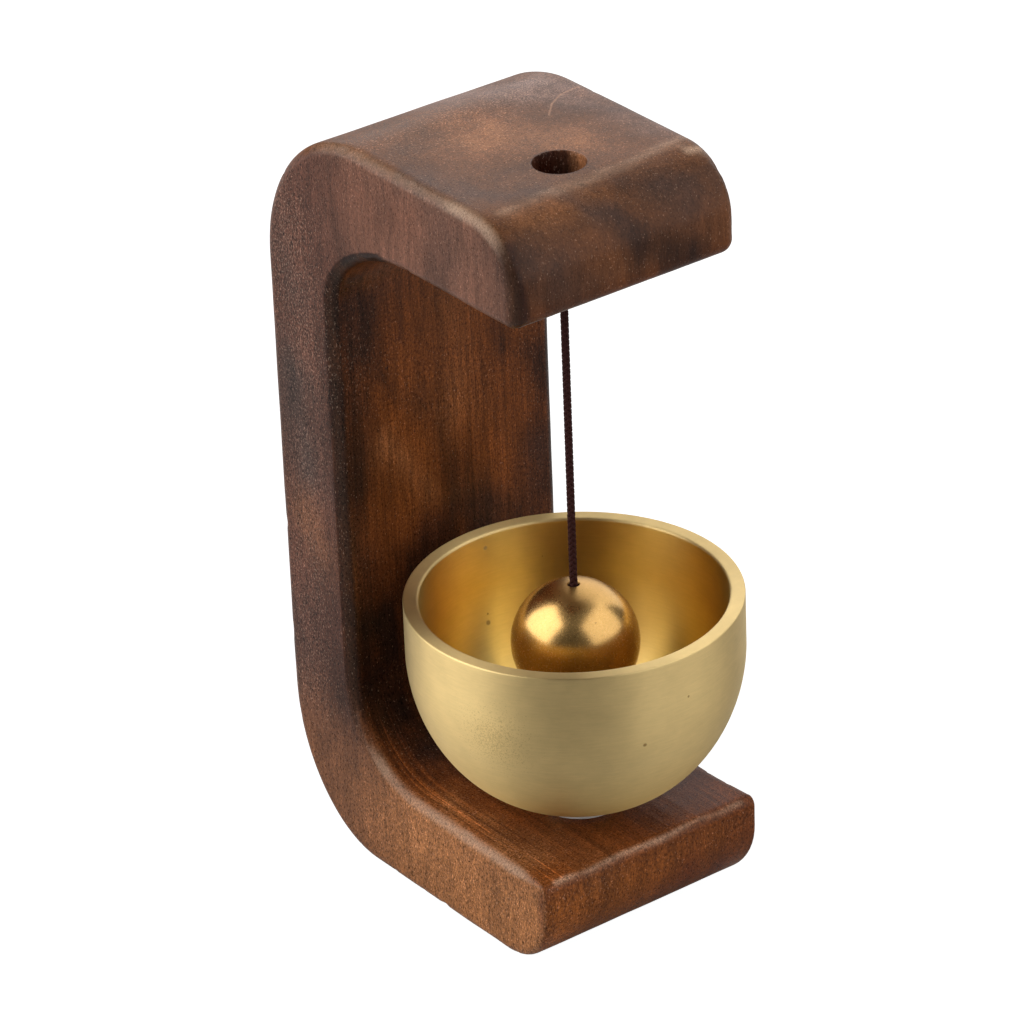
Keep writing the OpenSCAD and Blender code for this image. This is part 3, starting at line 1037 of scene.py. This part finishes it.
def make_screw(material):
    """Pan-head wood screw with a helical thread and a cross recess."""
    sides = 48
    turns = np.linspace(0, 2 * np.pi, sides, endpoint=False)
    head_z = SCREW_HIGH[2] - SCREW_HEAD_T
    shank = np.linspace(0, head_z - SCREW_LOW[2], 150)
    rows = [[(screw_radius(z, t), SCREW_LOW[2] + z) for t in turns] for z in shank]
    head = [(SCREW_HEAD_R - 0.15, head_z), (SCREW_HEAD_R, head_z + 0.15)]
    head += [
        (SCREW_HEAD_R - 1 + math.cos(t), head_z + 1.1 + 1.1 * math.sin(t))
        for t in np.radians(np.linspace(0, 80, 8))]
    rows += [[ring] * sides for ring in head]
    edge_r, edge_z = head[-1]
    for share in np.linspace(1, 0, 34)[1:]:
        row = []
        for t in turns:
            r = edge_r * share
            x, y = abs(r * math.cos(t)), abs(r * math.sin(t))
            arm = min(1.0, max(0.0, (CROSS_WIDTH - min(x, y)) / 0.15))
            reach = min(1.0, max(0.0, (CROSS_REACH - max(x, y)) / 0.6))
            dome = edge_z + (SCREW_HIGH[2] - edge_z) * (1 - share ** 2)
            row.append((r, dome - CROSS_DEPTH * arm * reach))
        rows.append(row)
    points = [
        (r * math.cos(t), AXIS_Y + r * math.sin(t), z)
        for row in rows for (r, z), t in zip(row, turns)]
    faces = [list(f) for f in grid(len(rows), sides)]
    faces.append(list(range(sides)))
    screw = mesh_object("bowl_screw_steel", points, faces)
    weld(screw, 1e-7)
    smooth(screw, 45)
    return finished(screw, "bracket", "steel", material, "bowl_screw")


def make_magnet(node, material):
    low, high = box_mm(node)
    radius, thick = (high[0] - low[0]) / 2, high[1] - low[1]
    profile = rounded([(0, 0), (radius, 0), (radius, thick), (0, thick)], 0.3, 4, closed=False)
    magnet = lathe(node + "_disc", profile, 96, closed=False)
    magnet.data.transform(lay_back(high[1], (low[2] + high[2]) / 2))
    smooth(magnet, 50)
    return finished(magnet, "bracket", "magnet", material, node)


# ---------------- materials

def walnut():
    s = Shader("walnut", Roughness=0.34, Specular_IOR_Level=0.14)
    where = s.place()
    drift = s.add("VectorMath", {
        0: s.add("TexNoise", {"Vector": where, "Scale": 0.12, "Detail": 2.0}, output="Color"),
        "Scale": 4.0}, output=0, operation="SCALE")
    bent = s.add("VectorMath", {0: where, 1: drift}, operation="ADD")

    def grain(scale, upwards, detail=2.0, roughness=0.6, start=where):
        """Noise drawn out along the grain, which runs up the bracket."""
        stretched = s.add("VectorMath", {0: start, 1: (1, 1, upwards)}, operation="MULTIPLY")
        return s.noise(stretched, scale, detail, roughness)

    streak = grain(1.1, 0.06, 3.0, start=bent)
    fibre = grain(3.6, 0.06)
    fine = grain(4.2, 0.55, 2.0, 0.8)
    pore = grain(5.0, 0.22, 1.0)
    speck = grain(4.6, 0.6, 1.0)
    saw = s.noise(s.place((1, 0.012, 0.012)), 2.6, 3.0, 0.85)
    score = s.noise(s.place((1, 0.02, 0.02), (3, 0, 0)), 2.2, 1.0, 0.6)
    sawn, scored, speckled, coarse = (
        s.attribute(name) for name in ("sawn", "scored", "speckled", "coarse"))

    colour = s.attribute("tone", output="Color")
    for value, low, high, dark, light in (
            (streak, 0.3, 0.7, 0.78, 1.22), (fibre, 0.3, 0.7, 0.84, 1.16)):
        colour = s.times(colour, s.step(value, low, high, dark, light))
    contrast = s.calc("MULTIPLY_ADD", s.step(fine, 0.3, 0.75, -0.72, 1.35), coarse, 1.0)
    colour = s.times(colour, contrast)
    lines = s.mix(sawn, (1, 1, 1), s.step(saw, 0.32, 0.68, 0.66, 1.34))
    colour = s.times(colour, lines)
    pale = s.times(colour, (2.6, 2.5, 2.4))
    cuts = s.calc("MULTIPLY", scored, s.step(score, 0.58, 0.61, 0.0, 0.6))
    colour = s.mix(cuts, colour, pale)
    grooves = s.calc("MULTIPLY", scored, s.step(score, 0.42, 0.36, 0.0, 0.5))
    colour = s.mix(grooves, colour, WOOD["groove"])
    open_pore = s.calc("MULTIPLY", s.step(pore, 0.71, 0.76), coarse)
    colour = s.mix(open_pore, colour, WOOD["pore"])
    least = s.step(speckled, 0, 1, 0.68, 0.57)
    bright = s.step(s.calc("SUBTRACT", speck, least), 0.0, 0.05, 0.0, 0.75)
    colour = s.mix(bright, colour, s.mix(0.3, pale, WOOD["fleck"]))
    # Paler edges: wear, with a painted highlight on the rounded left edges.
    worn_and_highlit = s.calc("MULTIPLY", s.attribute("worn_and_highlit"), s.step(fine, 0.3, 0.6, 0.4, 1.1))
    colour = s.mix(worn_and_highlit, colour, WOOD["rubbed_and_highlight"])
    for start, end in zip(SCRATCH, SCRATCH[1:]):
        scratch = s.step(s.distance_from_line(start, end), 0.22, 0.06, 0.0, 0.35)
        colour = s.mix(scratch, colour, WOOD["scratch"])
    s.to("Base Color", colour)
    s.to("Roughness", s.step(fine, 0.3, 0.7, 0.24, 0.42))
    height = s.calc("MULTIPLY_ADD", open_pore, -1.2, fine)
    height = s.calc("MULTIPLY_ADD", s.calc("MULTIPLY", saw, sawn), 0.8, height)
    s.to("Normal", s.bump(height, 0.35, 0.08))
    return s.material


# The colours of the two kinds of brass, linear, with painted shade for the ball's bore and a
# painted darker reflection low on the bowl.
BRASS = {
    "outside": (0.76, 0.57, 0.26),
    "inside": (0.76, 0.585, 0.225),
    "tarnish": (0.66, 0.42, 0.13),
    # painted darker reflection on the lower outside of the bowl
    "foot": (0.64, 0.44, 0.155),
    "pit": (0.30, 0.18, 0.06),
    "dark": (0.53, 0.312, 0.096),
    "light": (0.71, 0.43, 0.162),
    "dot": (0.14, 0.07, 0.025),
    # painted shade for the inside of the ball's bore
    "painted_bore_shade": (0.05, 0.025, 0.01)}

# Where the bowl's polish is stained, and its small pits with the size of each.
STAIN_CENTRE = (-21.0, AXIS_Y - 9.0, 36.0)
BOWL_PITS = [
    ((-5.7, AXIS_Y - 22.0, 35.0), 0.35), ((1.0, AXIS_Y - 23.0, 40.3), 0.22),
    ((0.8, AXIS_Y + 20.9, 44.4), 0.4), ((0.2, AXIS_Y + 20.1, 33.2), 0.45),
    ((0.4, AXIS_Y + 20.4, 34.4), 0.2), ((9.0, AXIS_Y + 18.9, 41.0), 0.12)]
TARNISH_CENTRE = (15.0, AXIS_Y + 14.0, 36.0)
# Centre of the painted darker reflection on the lower outside of the bowl.
DARK_REFLECTION_CENTRE = (0.0, AXIS_Y, 14.0)


def satin_brass():
    s = Shader("satin_brass", Metallic=1.0, Roughness=0.5, Anisotropic=0.8,
               Anisotropic_Rotation=0.25)
    inside = s.attribute("inside")
    colour = s.mix(inside, BRASS["outside"], BRASS["inside"])
    tarnished = s.step(s.distance_from(TARNISH_CENTRE), 23.0, 8.0, 0.0, 0.7)
    colour = s.mix(s.calc("MULTIPLY", inside, tarnished), colour, BRASS["tarnish"])
    # The outside is darker towards the bottom: a painted darker reflection of what lies below the
    # bowl.
    foot = s.step(s.distance_from(DARK_REFLECTION_CENTRE), 28.0, 15.0)
    foot = s.calc("MULTIPLY", foot, s.calc("SUBTRACT", 1.0, inside))
    colour = s.mix(foot, colour, BRASS["foot"])
    turned = s.noise(s.place((0.08, 0.08, 1)), 4.0, 3.0, 0.75)
    colour = s.times(colour, s.step(turned, 0.3, 0.7, 0.96, 1.04))
    cloud = s.noise(s.place(), 0.25, 3.0, 0.6)
    colour = s.times(colour, s.step(cloud, 0.3, 0.7, 0.96, 1.04))
    stained = s.step(s.distance_from(STAIN_CENTRE), 9.5, 1.0)
    dots = s.noise(s.place(), 4.6, 2.0, 0.7)
    least = s.step(stained, 0, 1, 0.72, 0.45)
    dark = s.step(s.calc("SUBTRACT", dots, least), 0.0, 0.12, 0.0, 0.35)
    for spot, size in BOWL_PITS:
        pit = s.step(s.distance_from(spot), size, size * 0.5, 0.0, 0.75)
        dark = s.calc("MAXIMUM", dark, pit)
    colour = s.mix(dark, colour, BRASS["pit"])
    s.to("Base Color", colour)
    rough = s.step(inside, 0, 1, 0.5, 0.31)
    s.to("Roughness", s.calc("MULTIPLY_ADD", dark, 0.3, rough))
    lines = s.noise(s.place((0.06, 0.06, 1)), 7.0, 3.0, 0.7)
    s.to("Normal", s.bump(lines, 0.12, 0.015))
    s.to("Tangent", s.add("Tangent", {}, direction_type="RADIAL", axis="Z"))
    return s.material


# The scuffed patch beside the ball's hole.
SCUFF_CENTRE = (0.6, AXIS_Y - 1.2, BALL_Z + 8.7)


def aged_brass():
    s = Shader("aged_brass", Metallic=1.0, Roughness=0.29)
    grain = s.noise(s.place(), 3.5, 5.0, 0.75)
    cloud = s.noise(s.place(), 0.35, 3.0, 0.6)
    colour = s.mix(s.step(grain, 0.25, 0.75), BRASS["dark"], BRASS["light"])
    colour = s.times(colour, s.step(cloud, 0.3, 0.7, 0.93, 1.06))
    dots = s.noise(s.place(), 4.0, 1.0)
    dark = s.step(dots, 0.70, 0.76, 0.0, 0.5)
    colour = s.mix(dark, colour, BRASS["dot"])
    # Painted shade inside the bore.
    colour = s.mix(s.attribute("painted_bore_shade"), colour, BRASS["painted_bore_shade"])
    s.to("Base Color", colour)
    scuffed = s.step(s.distance_from(SCUFF_CENTRE), 4.6, 2.2)
    rough = s.step(grain, 0.25, 0.75, 0.21, 0.30)
    s.to("Roughness", s.calc("MULTIPLY_ADD", scuffed, 0.16, rough))
    scuff = s.noise(s.place((1, 1, 2.5)), 5.0, 2.0, 0.7)
    s.to("Normal", s.bump(scuff, 0.15, 0.03))
    return s.material


def clouded(name, scale, detail, dark, light, **constants):
    """A material that drifts between two close colours."""
    s = Shader(name, **constants)
    s.to("Base Color", s.mix(s.noise(s.place(), scale, detail, 0.6), dark, light))
    return s.material


def braided_cord():
    return clouded(
        "braided_cord", 6.0, 2.0, (0.026, 0.006, 0.005), (0.050, 0.013, 0.011),
        Roughness=0.7, Specular_IOR_Level=0.15)


def plated_steel():
    return clouded(
        "plated_steel", 2.0, 3.0, (0.50, 0.50, 0.50), (0.68, 0.68, 0.67),
        Metallic=1.0, Roughness=0.35)


def nylon():
    return clouded("nylon", 1.2, 3.0, (0.78, 0.77, 0.73), (0.86, 0.85, 0.82), Roughness=0.35)


def nickel():
    return clouded(
        "nickel", 1.5, 3.0, (0.58, 0.57, 0.55), (0.70, 0.69, 0.67), Metallic=1.0, Roughness=0.25)


# ---------------- stage and lights

FLOOR_R = 1.3
COVE_R = 0.6
WALL_TOP = 1.9
FLOOR_GREY = 0.45
SEEN_GLOW = 0.94
WORLD_STRENGTH = 0.15

# The soft boxes: direction, distance, width, height and radiance.
SOFT_BOXES = {
    "left_box": (-122, 31, 0.65, 0.82, 0.85, 2.65),
    "right_box": (32, 31, 0.65, 0.88, 0.85, 1.36),
    "back_box": (128, 34, 1.00, 1.40, 1.10, 1.30)}


def make_floor(name, glow):
    """A pale floor that curves up into a wall all round."""
    profile = np.vstack([
        [(r, 0) for r in np.linspace(0, FLOOR_R, 12)[:-1]],
        arc((FLOOR_R, COVE_R), (COVE_R, COVE_R), -90, 0, 16),
        [(FLOOR_R + COVE_R, WALL_TOP)]])
    floor = lathe(name, profile / MM, 96, closed=False)
    smooth(floor, 60)
    floor.data.flip_normals()
    s = Shader(
        name, Roughness=0.9, Base_Color=(FLOOR_GREY, FLOOR_GREY, FLOOR_GREY),
        Emission_Color=(1, 1, 1), Emission_Strength=glow, Specular_IOR_Level=0.0)
    floor.data.materials.append(s.material)
    return floor


def make_stage():
    """The floor that the camera sees, and the plainer one that the object reflects."""
    seen = make_floor("floor", SEEN_GLOW)
    seen.visible_diffuse = False
    seen.visible_glossy = False
    reflected = make_floor("floor_reflected", 0.0)
    reflected.visible_camera = False
    for floor in (seen, reflected):
        floor.visible_shadow = False


def soft_box(name, azimuth, elevation, distance, width, height, radiance):
    """A soft light that faces the object from that direction."""
    towards = direction(azimuth, elevation)
    data = bpy.data.lights.new(name, "AREA")
    data.shape = "RECTANGLE"
    data.size = width
    data.size_y = height
    data.energy = radiance * math.pi * width * height
    lamp = add_object(name, data)
    lamp.location = towards * distance + Vector((0, AXIS_Y, BALL_Z)) * MM
    lamp.rotation_mode = "QUATERNION"
    lamp.rotation_quaternion = (-towards).to_track_quat("-Z", "Y")


def make_lights():
    for name, setting in SOFT_BOXES.items():
        soft_box(name, *setting)
    world = bpy.data.worlds.new("studio")
    world.use_nodes = True
    sky = world.node_tree.nodes["Background"]
    sky.inputs["Color"].default_value = (1, 1, 1, 1)
    sky.inputs["Strength"].default_value = WORLD_STRENGTH
    bpy.context.scene.world = world
    bpy.context.scene.view_settings.view_transform = "Standard"


# ---------------- the object

make_camera()
make_cords(braided_cord())
make_bracket(walnut())
make_bowl(satin_brass())
make_ball(aged_brass())
steel = plated_steel()
make_washer("bowl_spacer_ring", "bowl_spacer", 2.05, "nylon", nylon())
make_washer("screw_washer_ring", "screw_washer", 1.95, "steel", steel)
make_screw(steel)
for magnet_node in ("upper_magnet", "lower_magnet"):
    make_magnet(magnet_node, nickel())
make_stage()
make_lights()
